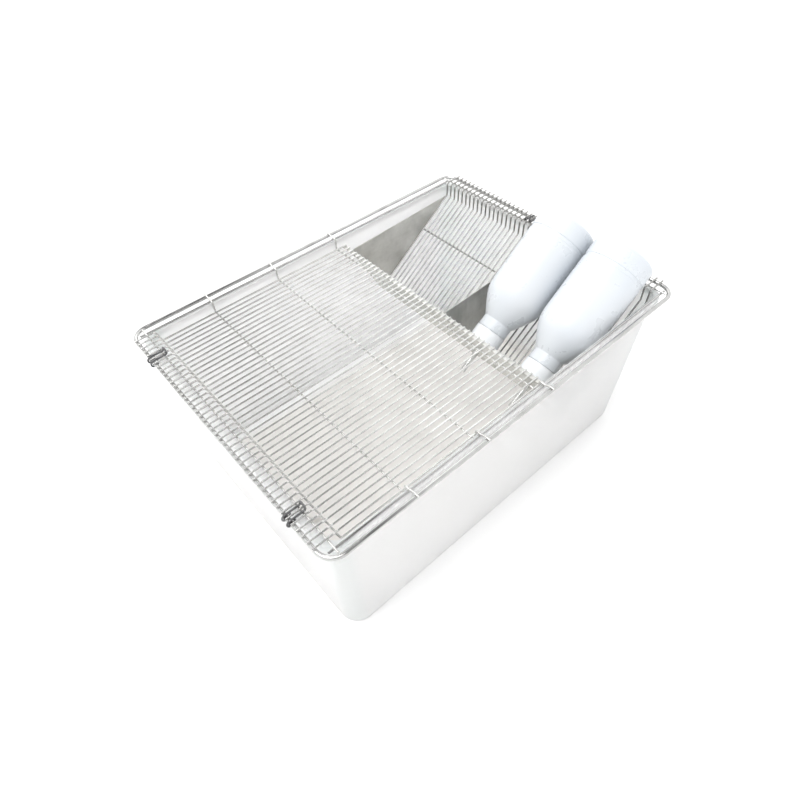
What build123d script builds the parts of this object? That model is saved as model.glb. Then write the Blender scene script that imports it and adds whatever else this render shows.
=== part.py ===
from build123d import *
from math import atan, cos, floor, radians, sin, sqrt, tan
import os

# Laboratory rat cage: a moulded plastic tub under a wire lid with a food hopper and two drinking bottles.
# The origin is the middle of the tub's underside. +Z is up, +Y is the hopper end, and +X the bottles' side.

# Clearances
weld_gap = 0.05  # between the wires and sheets of the lid, which are spot welded where they touch
seat_gap = 0.3  # between pieces that lift, turn or slide on each other

# Tub
tub_height = 200.0
tub_wall = 2.0
tub_floor = 3.0
side_draft = 5.5  # each long side leans in by this from rim to base
end_draft = 4.5
base_corner = 22.0
base_edge_radius = 8.0
mouth_corner = 14.0  # inside corner of the mouth
rim_width = 7.2
rim_thickness = 2.5
rim_edge_radius = 1.2
skirt_height = 10.0
skirt_wall = 2.0

# Lid frame
lid_width = 355.0
lid_length = 475.0
rod_dia = 4.5
rod_corner = 19.0  # outside of the bend
rod_overhang = 7.3  # the rod's outside stands out from the rim by this
side_wire_dia = 2.5
side_wire_inset = 11.5  # from the rod's outside to the middle of the wire
side_wire_end_gap = 4.0
end_wire_dia = 2.0
end_wire_inset = 14.5

# Long wires
wire_dia = 2.0
wire_pitch = 7.15
end_plate_clearance = 3.0  # from the tub's mouth to the hopper's end plates, at least
wire_bend = 3.0
field_drop = 14.3  # from the wires on the rod down to the flat field
near_flange = 22.5  # from the rod's outside to the bend
near_drop_run = 4.0
cross_wire_dia = 2.0
first_cross_wire = 92.5  # from the rod's outside at the near end
last_cross_wire = 12.5  # short of the hopper's front
middle_cross_wire = 1.2  # nearer than halfway between those two
riser_gap = 0.8  # between a cross wire's upright end and the tub's mouth
cross_wire_bend = 2.0
cross_wire_flat = 4.0
cross_wire_ramp = 6.0

# Hopper
sheet_thickness = 0.8
sheet_bend = 2.0
lip_width = 5.0
front_run = 49.7
foot_width = 8.6
slope_run = 117.7
far_flange = 22.5  # from the rod's outside to the slope's upright
hopper_depth = 104.0  # from the rod's middle down to the middle of the foot's sheet
slope_angle = 36.8
foot_weld_length = 6.0
far_overhang = 0.8
slope_cross_run = 74.7  # from the foot to the cross wire under the slope
plate_thickness = 0.8
plate_drop_near = 24.0  # the end plates' top edge, below the rod
plate_drop_far = 16.0
divider_clearance = 4.0  # from the divider to the nearer bottle, at least

# Bottles: their outlines are measured along the bottle's axis from a point near the sheet
bottle_dia = 70.0
bottle_gap = 4.5
bottle_wall = 1.6
bottle_point_run = 33.24  # short of the hopper's foot
bottle_point_drop = 66.05
bottle_mouth = 12.0
neck_dia = 31.0
collar_dia = 35.6
collar_start = 28.6
shoulder_start = 41.0
shoulder_flare = (1, 1.5)  # the way the shoulder leaves the collar, out and up
shoulder_points = ((26.0, 54.0), (32.2, 66.0))  # radius, and how far along the axis
shoulder_end = 86.0
band_start = 148.0
band_width = 5.0
band_depth = 0.7
base_end = 174.0
base_radius = 5.0
base_dish = 2.0
cap_start = 7.2
cap_end = 28.0
cap_dia = 36.6
cap_top = 2.2
cap_edge_radius = 1.5
seal_thickness = 2.0
seal_bore = 20.0
tube_dia = 6.35
tube_bore = 4.9
tube_inner_end = 10.6
tube_tip = -28.5
tip_lip = 0.8
tip_bore = 3.8
tube_hole_dia = 12.0
ball_dia = 4.5
ball_travel = 1.5

# Clips
clip_wire_dia = 2.0
clip_eye_gap = 0.4  # round the rod
clip_reach = 14.75  # from the rod's middle to the tip
clip_tip = 4.6
clip_bend = 2.0
clip_eye_end = 21.0  # degrees above level, where the eye stops short of its own leg
near_clip_wires_in = 5  # the near clips straddle the wire this many in from the outer one
far_clip_wires_left = 3  # and the far clip the one this many to the left of the middle


def plane_across(x):
    """The upright plane that runs along the cage at x."""
    return Plane(origin=(x, 0, 0), x_dir=(0, 1, 0), z_dir=(1, 0, 0))


def swept_wire(points, radii, diameter):
    """One round wire along the points, bent at the radii."""
    with BuildPart() as wire:
        with BuildLine() as path:
            if radii:
                FilletPolyline(*points, radius=radii)
            else:
                Line(*points)
        with BuildSketch(Plane(origin=path.line @ 0, z_dir=path.line % 0)):
            Circle(diameter / 2)
        sweep()
    return wire.part


# Heights and places that follow from the sizes above
rod_radius = rod_dia / 2
wire_radius = wire_dia / 2
side_wire_radius = side_wire_dia / 2
rim_x = lid_width / 2 - rod_overhang
rim_y = lid_length / 2 - rod_overhang
mouth_x = rim_x - rim_width
mouth_y = rim_y - rim_width
rod_z = tub_height + seat_gap + rod_radius
rod_x = lid_width / 2 - rod_radius
rod_y = lid_length / 2 - rod_radius
side_wire_z = tub_height + seat_gap + side_wire_radius
side_wire_x = lid_width / 2 - side_wire_inset
end_wire_z = side_wire_z + side_wire_radius + weld_gap + end_wire_dia / 2
end_wire_y = lid_length / 2 - end_wire_inset
flange_z = rod_z + rod_radius + weld_gap + wire_radius
field_z = flange_z - field_drop
field_start_y = -lid_length / 2 + near_flange
wires_each_side = floor((mouth_x - end_plate_clearance - plate_thickness - wire_radius) / wire_pitch)
outer_wire_x = wires_each_side * wire_pitch
wire_count = 2 * wires_each_side + 1
plate_x = outer_wire_x + wire_radius + weld_gap  # inner face of the end plates
riser_y = lid_length / 2 - far_flange
hopper_foot_y = riser_y - slope_run
front_foot_y = hopper_foot_y - foot_width
front_top_y = front_foot_y - front_run
cross_wire_radius = cross_wire_dia / 2
cross_wire_z = field_z - wire_radius - weld_gap - cross_wire_radius
foot_z = rod_z - hopper_depth
slope = tan(radians(slope_angle))
slope_foot_z = foot_z + sheet_thickness / 2 + weld_gap + wire_radius
slope_top_z = slope_foot_z + (riser_y - hopper_foot_y) * slope


# Tub: open box with leaning walls, rounded corners and a rim that turns down outside
def tub_half_x(z):
    return mouth_x + tub_wall - side_draft * (1 - z / tub_height)


def tub_half_y(z):
    return mouth_y + tub_wall - end_draft * (1 - z / tub_height)


with BuildPart() as tub:
    with BuildSketch():
        RectangleRounded(2 * tub_half_x(0), 2 * tub_half_y(0), base_corner)
    with BuildSketch(Plane.XY.offset(tub_height)):
        RectangleRounded(2 * tub_half_x(tub_height), 2 * tub_half_y(tub_height), mouth_corner + tub_wall)
    loft(ruled=True)
    fillet(tub.faces().sort_by(Axis.Z)[0].edges(), base_edge_radius)
    with BuildSketch(Plane.XY.offset(tub_height - rim_thickness)):
        RectangleRounded(2 * rim_x, 2 * rim_y, mouth_corner + rim_width)
    extrude(amount=rim_thickness)
    with BuildSketch(Plane.XY.offset(tub_height - skirt_height)):
        RectangleRounded(2 * rim_x, 2 * rim_y, mouth_corner + rim_width)
        offset(amount=-skirt_wall, mode=Mode.SUBTRACT)
    extrude(amount=skirt_height - rim_thickness)
    with BuildSketch(Plane.XY.offset(tub_floor)):
        RectangleRounded(
            2 * (tub_half_x(tub_floor) - tub_wall),
            2 * (tub_half_y(tub_floor) - tub_wall),
            base_corner - tub_wall,
        )
    with BuildSketch(Plane.XY.offset(tub_height)):
        RectangleRounded(2 * mouth_x, 2 * mouth_y, mouth_corner)
    loft(ruled=True, mode=Mode.SUBTRACT)
    inner_floor = tub.faces().filter_by(Axis.Z).sort_by(Axis.Z)[1]
    fillet(inner_floor.edges(), base_edge_radius - tub_wall)
    fillet(tub.faces().sort_by(Axis.Z)[-1].outer_wire().edges(), rim_edge_radius)
tub.part.label = "tub"

# Lid frame: a steel rod bent to a closed rounded rectangle, hanging over the rim all round
with BuildPart() as lid_frame_rod:
    with BuildLine(Plane.XY.offset(rod_z)) as rod_path:
        FilletPolyline(
            (-rod_x, -rod_y), (rod_x, -rod_y), (rod_x, rod_y), (-rod_x, rod_y),
            radius=rod_corner - rod_radius, close=True,
        )
    with BuildSketch(Plane(origin=rod_path.line @ 0, z_dir=rod_path.line % 0)):
        Circle(rod_radius)
    sweep()
lid_frame_rod.part.label = "lid_frame_rod"

# Side wires: the lid stands on the tub's rim on these two
side_wire_end = lid_length / 2 - rod_dia - side_wire_end_gap
with BuildPart() as side_wires:
    with BuildSketch(Plane.XZ.offset(-side_wire_end)):
        with Locations((-side_wire_x, side_wire_z), (side_wire_x, side_wire_z)):
            Circle(side_wire_radius)
    extrude(amount=2 * side_wire_end)
side_wires.part.label = "side_wires"

# End cross wires: from rod to rod over the side wires, under the long wires
corner_rise = end_wire_y + end_wire_dia / 2 - (lid_length / 2 - rod_corner)
corner_run = sqrt((rod_corner - rod_dia) ** 2 - corner_rise**2)
end_wire_half = lid_width / 2 - rod_corner + corner_run - weld_gap  # they end on the rod's bend
with BuildPart() as end_cross_wires:
    with BuildSketch(Plane.YZ.offset(-end_wire_half)):
        with Locations((-end_wire_y, end_wire_z), (end_wire_y, end_wire_z)):
            Circle(end_wire_dia / 2)
    extrude(amount=2 * end_wire_half)
end_cross_wires.part.label = "end_cross_wires"

# Field wires: each lies on the rod, steps down inside the mouth and runs flat to the hopper
field_wire = swept_wire(
    [
        (0, -lid_length / 2, flange_z),
        (0, field_start_y, flange_z),
        (0, field_start_y + near_drop_run, field_z),
        (0, front_top_y, field_z),
    ],
    wire_bend,
    wire_dia,
)
with BuildPart() as field_wires:
    with GridLocations(wire_pitch, 1, wire_count, 1):
        add(field_wire)
field_wires.part.label = "field_wires"

# Field cross wires: under the field, their ends turned up the mouth and out over the side wires to the rod
cross_end_x = lid_width / 2
riser_x = mouth_x - riser_gap - cross_wire_radius
cross_ledge_z = end_wire_z
cross_half = [
    (cross_end_x, flange_z),
    (cross_end_x - cross_wire_flat, flange_z),
    (cross_end_x - cross_wire_flat - cross_wire_ramp, cross_ledge_z),
    (riser_x, cross_ledge_z),
    (riser_x, cross_wire_z),
]
cross_points = [(-x, 0, z) for x, z in cross_half] + [(x, 0, z) for x, z in reversed(cross_half)]
field_cross_wire = swept_wire(cross_points, cross_wire_bend, cross_wire_dia)
first_cross_y = first_cross_wire - lid_length / 2
last_cross_y = front_top_y - last_cross_wire
middle_cross_y = (first_cross_y + last_cross_y) / 2 - middle_cross_wire
with BuildPart() as field_cross_wires:
    with Locations((0, first_cross_y, 0), (0, middle_cross_y, 0), (0, last_cross_y, 0)):
        add(field_cross_wire)
field_cross_wires.part.label = "field_cross_wires"

# Hopper wires: up the far slope, then upright, then out over the end of the rod
hopper_wire = swept_wire(
    [
        (0, hopper_foot_y - foot_weld_length, slope_foot_z),
        (0, hopper_foot_y, slope_foot_z),
        (0, riser_y, slope_top_z),
        (0, riser_y, flange_z),
        (0, lid_length / 2 + far_overhang, flange_z),
    ],
    wire_bend,
    wire_dia,
)
with BuildPart() as hopper_wires:
    with GridLocations(wire_pitch, 1, wire_count, 1):
        add(hopper_wire)
hopper_wires.part.label = "hopper_wires"

# Hopper cross wire: under the far slope, between the end plates
slope_cross_y = hopper_foot_y + slope_cross_run
slope_cross_z = (
    slope_foot_z
    + slope_cross_run * slope
    - (wire_radius + weld_gap + cross_wire_radius) / cos(radians(slope_angle))
)
with BuildPart() as hopper_cross_wire:
    with BuildSketch(Plane.YZ.offset(-plate_x + weld_gap)):
        with Locations((slope_cross_y, slope_cross_z)):
            Circle(cross_wire_radius)
    extrude(amount=2 * (plate_x - weld_gap))
hopper_cross_wire.part.label = "hopper_cross_wire"

# Bottle axes: both bottles lie parallel to the slope, side by side against the right-hand end plate
axis_up = (0, cos(radians(slope_angle)), sin(radians(slope_angle)))
bottle_radius = bottle_dia / 2
bottle_x_far = plate_x - seat_gap - bottle_radius
bottle_x_near = bottle_x_far - bottle_dia - bottle_gap
bottle_places = {"a": bottle_x_near, "b": bottle_x_far}


def bottle_origin(x):
    return (x, hopper_foot_y - bottle_point_run, rod_z - bottle_point_drop)


def bottle_section(x):
    """The plane through a bottle's axis: across it is local X and up the axis is local Y."""
    return Plane(origin=bottle_origin(x), x_dir=(1, 0, 0), z_dir=(0, -axis_up[2], axis_up[1]))


def bottle_axis(x):
    return Axis(bottle_origin(x), axis_up)


def bottle_across(x, distance):
    """The plane square to a bottle's axis at a distance along it."""
    start = Vector(*bottle_origin(x)) + Vector(*axis_up) * distance
    return Plane(origin=start, x_dir=(1, 0, 0), z_dir=axis_up)


# Hopper front plate: bent sheet with a lip under the field wires, a slanted face and a narrow foot
lip_z = field_z - wire_radius - weld_gap - sheet_thickness / 2
with BuildPart() as hopper_front_plate:
    with BuildSketch(plane_across(-plate_x + weld_gap)):
        with BuildLine():
            FilletPolyline(
                (front_top_y - lip_width, lip_z),
                (front_top_y, lip_z),
                (front_foot_y, foot_z),
                (hopper_foot_y, foot_z),
                radius=sheet_bend,
            )
        trace(line_width=sheet_thickness)
    extrude(amount=2 * (plate_x - weld_gap))
    for bottle_x in bottle_places.values():
        with BuildSketch(bottle_across(bottle_x, 0)):
            Circle(tube_hole_dia / 2)
        extrude(amount=tube_hole_dia, both=True, mode=Mode.SUBTRACT)
hopper_front_plate.part.label = "hopper_front_plate"

# Hopper plates: their top edge slants up to the far slope, and they stand on the front plate's foot
front_lean = (front_foot_y - front_top_y) / (lip_z - foot_z)  # run for each unit of drop
plate_near_z = rod_z - plate_drop_near
plate_far_z = rod_z - plate_drop_far
plate_near_y = front_top_y + (lip_z - plate_near_z) * front_lean
plate_far_y = hopper_foot_y + (plate_far_z - slope_foot_z) / slope


def flat_plate(label, outline, start_x):
    """One flat sheet that stands along the cage, from start_x to the right."""
    with BuildPart() as plate:
        with BuildSketch(plane_across(start_x)):
            with BuildLine():
                Polyline(*outline, close=True)
            make_face()
        extrude(amount=plate_thickness)
    plate.part.label = label
    return plate.part


# Hopper end plates: welded to the outer wires and to the front plate's ends
plate_foot_z = foot_z - sheet_thickness / 2
end_plate_outline = [
    (plate_near_y, plate_near_z),
    (front_foot_y, plate_foot_z),
    (hopper_foot_y, plate_foot_z),
    (plate_far_y, plate_far_z),
]
hopper_end_plate_left = flat_plate("hopper_end_plate_left", end_plate_outline, -plate_x - plate_thickness)
hopper_end_plate_right = flat_plate("hopper_end_plate_right", end_plate_outline, plate_x)

# Hopper divider: a plate inside the trough between the food side and the bottle side
divider_limit = bottle_x_near - bottle_radius - divider_clearance - plate_thickness - weld_gap - wire_radius
divider_x = floor(divider_limit / wire_pitch) * wire_pitch + wire_radius + weld_gap
sheet_step = (sheet_thickness / 2 + weld_gap) / cos(atan(front_lean))  # level step to its inner face
divider_foot_z = foot_z + sheet_thickness / 2 + weld_gap + sheet_bend / 2
divider_outline = [
    (plate_near_y + sheet_step, plate_near_z),
    (front_foot_y + sheet_step + sheet_bend / 2, divider_foot_z),
    (hopper_foot_y, divider_foot_z),
    (plate_far_y, plate_far_z),
]
hopper_divider = flat_plate("hopper_divider", divider_outline, divider_x)


# Bottle: thin blown plastic with a plain neck, a rounded shoulder, a shallow band and a dished base
def bottle_form(x, inset):
    """The bottle as a full round body, drawn in from its outside by the inset."""
    neck = neck_dia / 2 - inset
    collar = collar_dia / 2 - inset
    body = bottle_radius - inset
    mouth = bottle_mouth - inset
    end = base_end - inset
    with BuildPart() as form:
        with BuildSketch(bottle_section(x)):
            with BuildLine():
                Polyline(
                    (0, mouth),
                    (neck, mouth),
                    (neck, collar_start + inset),
                    (collar, collar_start + inset),
                    (collar, shoulder_start),
                )
                Spline(
                    (collar, shoulder_start),
                    *[(radius - inset, place) for radius, place in shoulder_points],
                    (body, shoulder_end),
                    tangents=[shoulder_flare, (0, 1)],
                )
                Polyline(
                    (body, shoulder_end),
                    (body, band_start),
                    (body - band_depth, band_start + band_depth),
                    (body - band_depth, band_start + band_width - band_depth),
                    (body, band_start + band_width),
                    (body, end - base_radius),
                )
                JernArc((body, end - base_radius), (0, 1), base_radius, 90)
                Polyline(
                    (body - base_radius, end),
                    (body - base_radius - 2 * base_dish, end - base_dish),
                    (0, end - base_dish),
                    (0, mouth),
                )
            make_face()
        revolve(axis=bottle_axis(x))
    return form.part


def make_bottle(x):
    outside = bottle_form(x, 0)
    inside = bottle_form(x, bottle_wall)
    with BuildPart() as bottle:
        add(outside)
        add(inside, mode=Mode.SUBTRACT)
    return bottle.part


# Cap: a plain screw cap, bored for the sipper tube
def make_cap(x):
    with BuildPart() as cap:
        with BuildSketch(bottle_across(x, cap_start)):
            Circle(cap_dia / 2)
        extrude(amount=cap_end - cap_start)
        fillet(cap.faces().sort_by(bottle_axis(x))[0].edges(), cap_edge_radius)
        with BuildSketch(bottle_across(x, cap_start + cap_top)):
            Circle(neck_dia / 2 + seat_gap)
        extrude(amount=cap_end - cap_start, mode=Mode.SUBTRACT)
        with BuildSketch(bottle_across(x, cap_start)):
            Circle(tube_dia / 2)
        extrude(amount=cap_top, mode=Mode.SUBTRACT)
    return cap.part


# Seal ring: a flat washer between the cap and the bottle's mouth
def make_seal(x):
    with BuildPart() as seal:
        with BuildSketch(bottle_across(x, cap_start + cap_top)):
            Circle(neck_dia / 2)
            Circle(seal_bore / 2, mode=Mode.SUBTRACT)
        extrude(amount=seal_thickness)
    return seal.part


# Sipper tube: drawn tube, rolled in at the tip and again behind the ball, which has room to travel between
ball_seat = sqrt((ball_dia / 2 + seat_gap) ** 2 - (tip_bore / 2) ** 2)  # from a roll to the ball's middle
ball_place = tube_tip + tip_lip / 2 + ball_seat
ball_stop = ball_place + ball_travel + ball_seat


def make_tube(x):
    bore = tube_bore / 2
    lip = tip_bore / 2
    with BuildPart() as tube:
        with BuildSketch(bottle_section(x)):
            with BuildLine():
                Polyline(
                    (lip, tube_tip),
                    (tube_dia / 2 - tip_lip, tube_tip),
                    (tube_dia / 2, tube_tip + tip_lip),
                    (tube_dia / 2, tube_inner_end),
                    (bore, tube_inner_end),
                    (bore, ball_stop + tip_lip),
                    (lip, ball_stop + tip_lip / 2),
                    (lip, ball_stop),
                    (bore, ball_stop),
                    (bore, tube_tip + 2 * tip_lip),
                    (lip, tube_tip + tip_lip / 2),
                    close=True,
                )
            make_face()
        revolve(axis=bottle_axis(x))
    return tube.part


# Ball: seats on the rolled tip and is trapped below the inner roll
def make_ball(x):
    with BuildPart() as ball:
        with Locations(bottle_across(x, ball_place)):
            Sphere(ball_dia / 2)
    return ball.part


bottle_makers = {
    "bottle": make_bottle,
    "bottle_cap": make_cap,
    "cap_seal": make_seal,
    "sipper_tube": make_tube,
    "sipper_ball": make_ball,
}
bottle_parts = []
for bottle_name, bottle_x in bottle_places.items():
    for piece_name, make_piece in bottle_makers.items():
        bottle_piece = make_piece(bottle_x)
        bottle_piece.label = f"{piece_name}_{bottle_name}"
        bottle_parts.append(bottle_piece)


# Clip: a wire bail with an open eye round the rod on each leg, and a turned-up tip that hooks the rim
def make_clip(x, end):
    """A clip over the wire at x. end is -1 at the near end and 1 at the hopper end."""
    eye_radius = rod_radius + clip_eye_gap + clip_wire_dia / 2
    leg_x = x - wire_pitch / 2
    inboard = -end
    eye_stop = radians(clip_eye_end)
    eye_plane = Plane(origin=(leg_x, end * rod_y, rod_z), x_dir=(0, inboard, 0), z_dir=(inboard, 0, 0))
    with BuildPart() as clip:
        with BuildLine() as path:
            with BuildLine(eye_plane):
                eye = ThreePointArc(
                    (eye_radius * cos(eye_stop), eye_radius * sin(eye_stop)),
                    (-eye_radius * sin(eye_stop), -eye_radius * cos(eye_stop)),
                    (0, eye_radius),
                )
                FilletPolyline(
                    (0, eye_radius, 0),
                    (clip_reach, eye_radius, 0),
                    (clip_reach, eye_radius + clip_tip, 0),
                    (clip_reach, eye_radius + clip_tip, inboard * wire_pitch / 2),
                    radius=clip_bend,
                )
        with BuildSketch(Plane(origin=eye @ 0, z_dir=eye % 0)):
            Circle(clip_wire_dia / 2)
        sweep()
        mirror(about=Plane.YZ.offset(x))
    return clip.part


near_clip_x = (wires_each_side - near_clip_wires_in) * wire_pitch
clip_places = {
    "clip_near_left": (-near_clip_x, -1),
    "clip_near_right": (near_clip_x, -1),
    "clip_far": (-far_clip_wires_left * wire_pitch, 1),
}
clip_parts = []
for clip_name, (clip_x, clip_end) in clip_places.items():
    rim_clip = make_clip(clip_x, clip_end)
    rim_clip.label = clip_name
    clip_parts.append(rim_clip)

lid_parts = [
    lid_frame_rod.part,
    side_wires.part,
    end_cross_wires.part,
    field_wires.part,
    field_cross_wires.part,
    hopper_front_plate.part,
    hopper_wires.part,
    hopper_cross_wire.part,
    hopper_end_plate_left,
    hopper_end_plate_right,
    hopper_divider,
]

os.makedirs("parts", exist_ok=True)
for piece in [tub.part] + lid_parts + bottle_parts + clip_parts:
    export_step(piece, f"parts/{piece.label}.step")
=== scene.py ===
from math import cos, radians, sin, tan

import bpy
from mathutils import Matrix, Vector


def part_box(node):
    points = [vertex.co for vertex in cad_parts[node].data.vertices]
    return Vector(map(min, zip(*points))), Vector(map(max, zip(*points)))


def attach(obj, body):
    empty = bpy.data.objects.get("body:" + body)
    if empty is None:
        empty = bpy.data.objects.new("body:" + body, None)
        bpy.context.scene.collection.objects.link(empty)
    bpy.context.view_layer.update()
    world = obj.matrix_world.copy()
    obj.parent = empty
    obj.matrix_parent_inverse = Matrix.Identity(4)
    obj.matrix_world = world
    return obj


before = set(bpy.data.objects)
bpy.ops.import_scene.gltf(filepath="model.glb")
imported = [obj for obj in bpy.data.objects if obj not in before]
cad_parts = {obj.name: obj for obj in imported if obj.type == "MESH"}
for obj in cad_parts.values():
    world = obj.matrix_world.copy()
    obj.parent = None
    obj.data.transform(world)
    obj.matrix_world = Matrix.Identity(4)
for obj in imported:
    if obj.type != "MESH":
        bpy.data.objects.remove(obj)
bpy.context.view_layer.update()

# Camera: the photograph is taken from above the near right corner with a short lens.
# Its place and its directions were solved from the lid's corners in the photograph.
MM = 0.001
rod_low, rod_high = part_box("lid_frame_rod")
rod_z = (rod_low.z + rod_high.z) / 2
camera_place = Vector((364.5 * MM, -311.5 * MM, rod_z + 417.7 * MM))
camera_right = Vector((0.6601, 0.7505, -0.0326))
camera_back = Vector((0.5042, -0.4104, 0.7598))
camera_lens = 26.37

camera_back.normalize()
camera_up = camera_back.cross(camera_right).normalized()
camera_right = camera_up.cross(camera_back)
camera_data = bpy.data.cameras.new("camera")
camera_data.lens = camera_lens
camera_data.sensor_width = 36.0
camera_data.clip_start = 0.01
camera = bpy.data.objects.new("camera", camera_data)
camera_turn = Matrix((camera_right, camera_up, camera_back)).transposed().to_4x4()
camera.matrix_world = Matrix.Translation(camera_place) @ camera_turn
bpy.context.scene.collection.objects.link(camera)
bpy.context.scene.camera = camera
bpy.context.scene.view_settings.view_transform = "Standard"


# Tub: one moulding in clear plastic, gone milky with washing, open at the top.
# Its rim turns down outside. The inside of the base is painted darker and warmer as shade, and it is
# rougher.
tub_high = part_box("tub")[1]
tub_milky = (0.985, 0.985, 0.985)
tub_shade_and_scuffs = (0.885, 0.862, 0.835)
# The rounded corners get a faint grey-green band of painted shade.
tub_corner_shade = (0.93, 0.95, 0.945)
base_height = 3 * MM
# Up to this height and inside these sides, the base's floor carries painted shade.
shaded_floor_up_to = 14 * MM
shaded_floor_to_x = tub_high.x - 40 * MM
unshaded_from_x = tub_high.x - 30 * MM
base_reach = 380 * MM  # half the base's width and half its length, added
wall_lean = 10.0 / 200.0  # how much that grows for each unit of height
corner_radius = 22 * MM
corner_shade_from = base_reach - corner_radius
corner_shade_fully = base_reach - 0.65 * corner_radius


class Value:
    """An output of a node, so that the maths of materials and shapes reads as Python expressions."""

    def __init__(self, tree, socket):
        self.tree = tree
        self.socket = socket

    def node(self, kind, settings, inputs, output=0):
        """Adds a node, with its settings first and then a value or a link for each input."""
        made = self.tree.nodes.new(kind)
        for name, setting in settings.items():
            setattr(made, name, setting)
        for name, value in inputs.items():
            if isinstance(value, Value):
                self.tree.links.new(value.socket, made.inputs[name])
            else:
                made.inputs[name].default_value = value
        return Value(self.tree, made.outputs[output])

    def maths(self, operation, *others):
        return self.node("ShaderNodeMath", {"operation": operation}, dict(enumerate((self, *others))))

    def __add__(self, other):
        return self.maths("ADD", other)

    def __mul__(self, other):
        return self.maths("MULTIPLY", other)

    def __sub__(self, other):
        return self.maths("SUBTRACT", other)

    def __rsub__(self, other):
        return self.node("ShaderNodeMath", {"operation": "SUBTRACT"}, {0: other, 1: self})

    __radd__ = __add__
    __rmul__ = __mul__

    def noise(self, scale, detail=3.0, roughness=0.5):
        settings = {"noise_dimensions": "3D"}
        inputs = {"Vector": self, "Scale": scale, "Detail": detail, "Roughness": roughness}
        return self.node("ShaderNodeTexNoise", settings, inputs)

    def stretched(self, x, y, z):
        """A vector with its three parts scaled apart, for grain that runs one way."""
        return self.node("ShaderNodeMapping", {"vector_type": "POINT"}, {"Vector": self, "Scale": (x, y, z)})

    def spread(self, low, high, out_low, out_high):
        """Maps low to high onto out_low to out_high, held at the ends."""
        inputs = {"Value": self, "From Min": low, "From Max": high, "To Min": out_low, "To Max": out_high}
        return self.node("ShaderNodeMapRange", {"clamp": True}, inputs)

    def part(self, axis):
        return self.node("ShaderNodeSeparateXYZ", {}, {"Vector": self}, "XYZ".index(axis))

    def blend(self, first, second):
        """A colour between two others, by this value."""
        first, second = [end if isinstance(end, Value) else (*end, 1) for end in (first, second)]
        inputs = {0: self, 6: first, 7: second}
        return self.node("ShaderNodeMix", {"data_type": "RGBA"}, inputs, 2)

    def bump(self, strength, distance):
        return self.node("ShaderNodeBump", {}, {"Height": self, "Strength": strength, "Distance": distance})


def new_finish(name, **constants):
    """Returns a material, a function that feeds its shader, and the piece's own coordinates."""
    material = bpy.data.materials.new(name)
    material.use_nodes = True
    tree = material.node_tree
    shader = tree.nodes["Principled BSDF"]
    for socket, constant in constants.items():
        shader.inputs[socket.replace("_", " ")].default_value = constant
    place = Value(tree, tree.nodes.new("ShaderNodeTexCoord").outputs["Object"])

    def feed(**values):
        for socket, value in values.items():
            tree.links.new(value.socket, shader.inputs[socket.replace("_", " ")])

    return material, feed, place


def dress(node, material):
    """Gives a solid of the frame its finish."""
    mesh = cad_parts[node].data
    mesh.materials.clear()
    mesh.materials.append(material)


tub_plastic, feed, place = new_finish(
    "tub_plastic", IOR=1.45, Transmission_Weight=0.62, Specular_IOR_Level=0.35,
)
side = place.part("X").maths("ABSOLUTE")
end = place.part("Y").maths("ABSOLUTE")
height = place.part("Z")
inward = side.spread(shaded_floor_to_x, unshaded_from_x, 1.0, 0.0)
shaded_dull_floor = height.spread(base_height, shaded_floor_up_to, 1.0, 0.0) * inward
clouds = place.noise(9.0, detail=4.0)
scratches = place.stretched(1.0, 9.0, 1.0).noise(160.0, detail=2.0)
# Painted shade down the rounded corners, growing in towards each corner.
painted_corner_shade = (side + end - height * wall_lean).spread(corner_shade_from, corner_shade_fully, 0.0, 1.0)
walls_with_corner_shade = painted_corner_shade.blend(tub_milky, tub_corner_shade)
scuffs = clouds.spread(0.35, 0.7, 0.0, 0.5) + scratches.spread(0.5, 0.75, 0.0, 0.5)
# The floor is blended to its painted shade; the random scuffs add a little of the same colour anywhere.
feed(
    Base_Color=(shaded_dull_floor * 0.9 + scuffs * 0.06).blend(walls_with_corner_shade, tub_shade_and_scuffs),
    Roughness=clouds.spread(0.3, 0.7, 0.3, 0.4) + shaded_dull_floor * 0.2,
    Normal=(scratches * 0.3 + place.noise(28.0) * 0.7).bump(0.02, 0.4 * MM),
)
dress("tub", tub_plastic)


# Lid wires and rod: stainless steel, drawn and then electropolished, so the grain runs along the wire.
# Washing leaves a duller skin here and there. The rod and the slope's wires get darker copies of the steel,
# as painted shade.
def drawn_finish(name, bright, dull, polish):
    """Drawn wire with its grain along the wire and duller patches here and there."""
    material, feed, place = new_finish(name, Metallic=1.0, Specular_IOR_Level=0.5)
    drawn = place.stretched(1.0, 0.04, 1.0).noise(900.0, detail=2.0)
    dulled = place.noise(38.0, detail=3.0).spread(0.4, 0.75, 0.0, 1.0)
    feed(
        Base_Color=(dulled * 0.7 + drawn * 0.2).blend(bright, dull),
        Roughness=dulled * 0.12 + drawn.spread(0.3, 0.7, polish, polish + 0.1),
        Normal=drawn.bump(0.15, 0.05 * MM),
    )
    return material


# The rod's and the slope's colours are the steel darkened as painted shade.
shaded_rod_bright = (0.58, 0.58, 0.575)
shaded_rod_dull = (0.40, 0.40, 0.39)
wire_bright = (0.72, 0.72, 0.71)
wire_dull = (0.52, 0.515, 0.50)
shaded_slope_bright = (0.42, 0.42, 0.41)
shaded_slope_dull = (0.28, 0.275, 0.26)
shaded_rod_steel = drawn_finish("shaded_rod_steel", shaded_rod_bright, shaded_rod_dull, 0.08)
wire_steel = drawn_finish("wire_steel", wire_bright, wire_dull, 0.1)
shaded_slope_steel = drawn_finish("shaded_slope_steel", shaded_slope_bright, shaded_slope_dull, 0.1)
for node in ("lid_frame_rod", "side_wires"):
    dress(node, shaded_rod_steel)
for node in ("end_cross_wires", "field_wires", "field_cross_wires"):
    dress(node, wire_steel)
for node in ("hopper_wires", "hopper_cross_wire"):
    dress(node, shaded_slope_steel)


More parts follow.
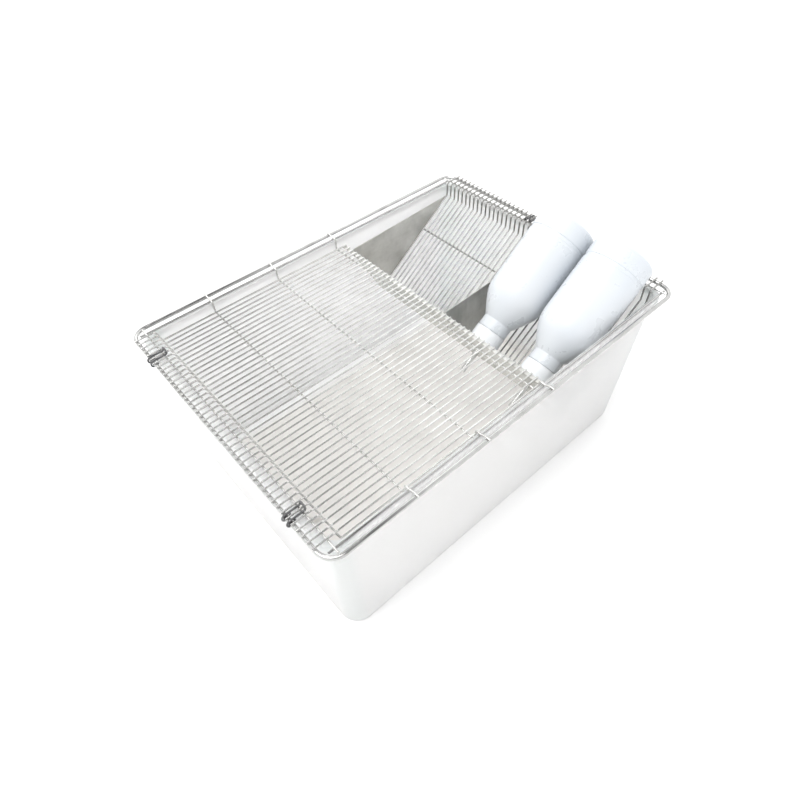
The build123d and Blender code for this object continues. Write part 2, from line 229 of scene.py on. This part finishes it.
# Spot welds: where two wires cross they are pressed together hot, and a little metal squeezes out.
# One bead a crossing, under the long wires, and a row along the sheet's lip.
wire_radius = 1.0 * MM
wire_pitch = 7.15 * MM
field_drop = 14.3 * MM
cross_wires_from_near_end = (92.5 * MM, 177.05 * MM, 264.0 * MM)
lip_from_near_end = 274.0 * MM
end_wire_inset = 14.5 * MM
slope_wire_from_far_end = 65.5 * MM
slope_foot_from_far_end = 140.2 * MM
slope_angle = radians(36.8)
weld_width = 1.9 * MM
weld_height = 1.0 * MM
weld_unevenness = 0.15
weld_seed = 7

rod_radius = (rod_high.z - rod_low.z) / 2
flange_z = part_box("field_wires")[1].z - wire_radius
field_z = flange_z - field_drop
wires_each_side = round((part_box("field_wires")[1].x - wire_radius) / wire_pitch)
slope_low_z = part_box("hopper_wires")[0].z + wire_radius
slope_foot_y = rod_high.y - slope_foot_from_far_end
slope_wire_y = rod_high.y - slope_wire_from_far_end
weld_rows = [(rod_low.y + inset, field_z - wire_radius) for inset in cross_wires_from_near_end]
weld_rows.append((rod_low.y + lip_from_near_end, field_z - wire_radius))
for end, outward in ((rod_low.y, 1), (rod_high.y, -1)):
    weld_rows.append((end + outward * rod_radius, flange_z - wire_radius))
    weld_rows.append((end + outward * end_wire_inset, flange_z - wire_radius))
slope_wire_z = slope_low_z + (slope_wire_y - slope_foot_y) * tan(slope_angle)
slope_weld_y = slope_wire_y + wire_radius * sin(slope_angle)
weld_rows.append((slope_weld_y, slope_wire_z - wire_radius * cos(slope_angle)))
weld_places = [
    (x * wire_pitch, y, z) for y, z in weld_rows for x in range(-wires_each_side, wires_each_side + 1)
]


def weld_tree(finish):
    """Puts an uneven flattened bead on every point of the mesh."""
    tree = bpy.data.node_groups.new("weld_beads", "GeometryNodeTree")
    face = tree.interface
    face.new_socket("Places", in_out="INPUT", socket_type="NodeSocketGeometry")
    for name, kind in (("Width", "Float"), ("Height", "Float"), ("Unevenness", "Float"), ("Seed", "Int")):
        face.new_socket(name, in_out="INPUT", socket_type=f"NodeSocket{kind}")
    face.new_socket("Beads", in_out="OUTPUT", socket_type="NodeSocketGeometry")
    given = tree.nodes.new("NodeGroupInput")
    places, width, height, uneven, seed = [Value(tree, socket) for socket in given.outputs[:5]]
    ball = places.node("GeometryNodeMeshUVSphere", {}, {"Segments": 8, "Rings": 5, "Radius": 0.5})
    least = places.node("ShaderNodeCombineXYZ", {}, {"X": width, "Y": width, "Z": height})
    growth = places.node(
        "FunctionNodeRandomValue", {"data_type": "FLOAT"}, {2: 1 - uneven, 3: 1 + uneven, "Seed": seed}, 1,
    )
    size = least.node("ShaderNodeVectorMath", {"operation": "SCALE"}, {0: least, "Scale": growth})
    beads = places.node(
        "GeometryNodeInstanceOnPoints", {}, {"Points": places, "Instance": ball, "Scale": size},
    )
    solid = beads.node("GeometryNodeRealizeInstances", {}, {"Geometry": beads})
    dressed = solid.node("GeometryNodeSetMaterial", {}, {"Geometry": solid, "Material": finish})
    out = tree.nodes.new("NodeGroupOutput")
    tree.links.new(dressed.socket, out.inputs[0])
    return tree


places_mesh = bpy.data.meshes.new("weld_places")
places_mesh.from_pydata(weld_places, [], [])
places_object = bpy.data.objects.new("weld_places", places_mesh)
bpy.context.scene.collection.objects.link(places_object)
beads_modifier = places_object.modifiers.new("weld_beads", "NODES")
beads_modifier.node_group = weld_tree(wire_steel)
weld_inputs = {"Width": weld_width, "Height": weld_height, "Unevenness": weld_unevenness, "Seed": weld_seed}
for item in beads_modifier.node_group.interface.items_tree:
    if item.in_out == "INPUT" and item.name in weld_inputs:
        beads_modifier[item.identifier] = weld_inputs[item.name]
graph = bpy.context.evaluated_depsgraph_get()
weld_mesh = bpy.data.meshes.new_from_object(places_object.evaluated_get(graph), depsgraph=graph)
bpy.data.objects.remove(places_object)
welds = bpy.data.objects.new("welds", weld_mesh)
bpy.context.scene.collection.objects.link(welds)
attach(welds, "lid")


# Hopper sheets: cold-rolled stainless sheet with a dull mill finish, sheared and folded.
# Rolling leaves fine streaks along the sheet, and feed and washing leave grey blooms.
sheet_light = (0.82, 0.82, 0.795)
sheet_dark = (0.58, 0.58, 0.55)
# The divider gets the sheet's colours darkened, as painted shade.
shaded_divider_light = (0.62, 0.625, 0.60)
shaded_divider_dark = (0.40, 0.405, 0.385)


def sheet_finish(name, light, dark, along):
    """Rolled sheet with its streaks along the given direction's scale."""
    material, feed, place = new_finish(name, Metallic=1.0)
    streaks = place.stretched(*along).noise(420.0, detail=3.0)
    blooms = place.noise(26.0, detail=5.0, roughness=0.62)
    worn = blooms.spread(0.36, 0.66, 0.0, 1.0)
    feed(
        Base_Color=(worn * 0.75 + streaks * 0.25).blend(light, dark),
        Roughness=worn * 0.16 + streaks.spread(0.3, 0.7, 0.3, 0.42),
        Normal=(streaks * 0.5 + blooms * 0.5).bump(0.12, 0.15 * MM),
    )
    return material


front_sheet = sheet_finish("front_sheet", sheet_light, sheet_dark, (0.03, 1.0, 1.0))
side_sheet = sheet_finish("side_sheet", sheet_light, sheet_dark, (1.0, 0.05, 0.6))
shaded_divider_sheet = sheet_finish("shaded_divider_sheet", shaded_divider_light, shaded_divider_dark, (1.0, 0.6, 0.05))
dress("hopper_front_plate", front_sheet)
dress("hopper_end_plate_left", side_sheet)
dress("hopper_end_plate_right", side_sheet)
dress("hopper_divider", shaded_divider_sheet)


# Clips: bails bent from drawn wire that isn't polished, so they are much darker than the lid.
# Their legs are hooked round the rod and their tips snap under the tub's rim.
clip_grey = (0.20, 0.20, 0.205)
clip_black = (0.07, 0.07, 0.07)
clip_steel, feed, place = new_finish("clip_steel", Metallic=1.0)
grime = place.noise(300.0, detail=3.0)
feed(
    Base_Color=grime.spread(0.35, 0.7, 0.0, 1.0).blend(clip_grey, clip_black),
    Roughness=grime.spread(0.3, 0.7, 0.22, 0.42),
    Normal=grime.bump(0.1, 0.05 * MM),
)
for clip in ("clip_near_left", "clip_near_right", "clip_far"):
    dress(clip, clip_steel)


# Bottles: blown in milky plastic, with a slightly uneven wall and a cool white cast.
# They lie head down against the hopper's wires, with their caps on the front sheet.
bottle_body = (0.72, 0.745, 0.77)
bottle_thin = (0.66, 0.70, 0.745)
cap_body = (0.95, 0.97, 0.99)
cap_thin = (0.90, 0.93, 0.965)


def milky_finish(name, light, shade, rough, transmission):
    """Milky plastic with slow waves in its wall, thinner and bluer in places."""
    material, feed, place = new_finish(name, IOR=1.5, Transmission_Weight=transmission)
    waves = place.noise(14.0, detail=2.0)
    cloudy = place.noise(60.0, detail=3.0)
    feed(
        Base_Color=(waves.spread(0.3, 0.7, 0.0, 0.8) + cloudy * 0.2).blend(light, shade),
        Roughness=cloudy * 0.14 + rough,
        Normal=waves.bump(0.1, 1.5 * MM),
    )
    return material


bottle_plastic = milky_finish("bottle_plastic", bottle_body, bottle_thin, 0.22, 0.08)
cap_plastic = milky_finish("cap_plastic", cap_body, cap_thin, 0.24, 0.12)
for letter in "ab":
    dress(f"bottle_{letter}", bottle_plastic)
    dress(f"bottle_cap_{letter}", cap_plastic)


# Sipper tubes, balls and seals: polished steel tube with a rolled tip, a steel ball and a soft ring.
# The ring is pinched between the bottle's mouth and its cap, and doesn't show.
tube_bright = (0.74, 0.74, 0.73)
tube_dull = (0.5, 0.5, 0.49)
seal_pale = (0.78, 0.78, 0.76)
seal_shade = (0.68, 0.68, 0.66)
tube_steel, feed, place = new_finish("tube_steel", Metallic=1.0)
haze = place.noise(120.0, detail=3.0)
feed(
    Base_Color=haze.spread(0.3, 0.7, 0.0, 1.0).blend(tube_bright, tube_dull),
    Roughness=haze.spread(0.3, 0.7, 0.1, 0.24),
)
seal_rubber, feed, place = new_finish("seal_rubber", Specular_IOR_Level=0.3)
specks = place.noise(700.0)
feed(
    Base_Color=specks.blend(seal_pale, seal_shade),
    Roughness=specks.spread(0.3, 0.7, 0.55, 0.75),
    Normal=specks.bump(0.1, 0.1 * MM),
)
for letter in "ab":
    dress(f"sipper_tube_{letter}", tube_steel)
    dress(f"sipper_ball_{letter}", tube_steel)
    dress(f"cap_seal_{letter}", seal_rubber)


# Stage: a plain white floor, with soft light from above and a little from the side. The studio is bright
# all round but for a dim band overhead and a dim patch behind the camera, which the near wires mirror.
floor_half = 6.0
floor_mesh = bpy.data.meshes.new("floor")
floor_corners = [(x * floor_half, y * floor_half, 0) for x, y in ((-1, -1), (1, -1), (1, 1), (-1, 1))]
floor_mesh.from_pydata(floor_corners, [], [(0, 1, 2, 3)])
floor = bpy.data.objects.new("floor", floor_mesh)
bpy.context.scene.collection.objects.link(floor)
floor_paint = bpy.data.materials.new("floor_paint")
floor_paint.use_nodes = True
floor_shader = floor_paint.node_tree.nodes["Principled BSDF"]
floor_shader.inputs["Base Color"].default_value = (0.96, 0.96, 0.96, 1)
floor_shader.inputs["Roughness"].default_value = 0.9
floor_mesh.materials.append(floor_paint)

world = bpy.data.worlds.new("studio")
world.use_nodes = True
world_tree = world.node_tree
studio_bright = (1.0, 1.0, 1.0)
studio_dim = (0.12, 0.12, 0.12)
studio_strength = 1.36
direction = Value(world_tree, world_tree.nodes.new("ShaderNodeTexCoord").outputs["Generated"])
across = (direction.part("Y") - 0.2).maths("ABSOLUTE").spread(0.06, 0.2, 1.0, 0.0)
overhead = across * direction.part("Z").spread(0.15, 0.45, 0.0, 1.0)
behind_camera = direction.node(
    "ShaderNodeVectorMath", {"operation": "DOT_PRODUCT"}, {0: direction, 1: camera_back}, 1,
)
dimmed = overhead.maths("MAXIMUM", behind_camera.spread(0.88, 0.97, 0.0, 0.6))
studio = dimmed.blend(studio_bright, studio_dim)
world_tree.links.new(studio.socket, world_tree.nodes["Background"].inputs["Color"])
world_tree.nodes["Background"].inputs["Strength"].default_value = studio_strength
bpy.context.scene.world = world


def soft_box(name, place, target, size, power):
    """A square lamp that shines at the target."""
    lamp_data = bpy.data.lights.new(name, "AREA")
    lamp_data.shape = "SQUARE"
    lamp_data.size = size
    lamp_data.energy = power
    lamp = bpy.data.objects.new(name, lamp_data)
    lamp.location = place
    lamp.rotation_mode = "QUATERNION"
    lamp.rotation_quaternion = (Vector(place) - Vector(target)).to_track_quat("Z", "Y")
    bpy.context.scene.collection.objects.link(lamp)


soft_box("top_light", (0.0, -0.65, 2.2), (0, 0, 0.1), 1.4, 26.0)
soft_box("left_light", (-1.6, 0.6, 1.3), (0, 0, 0.1), 1.2, 6.0)
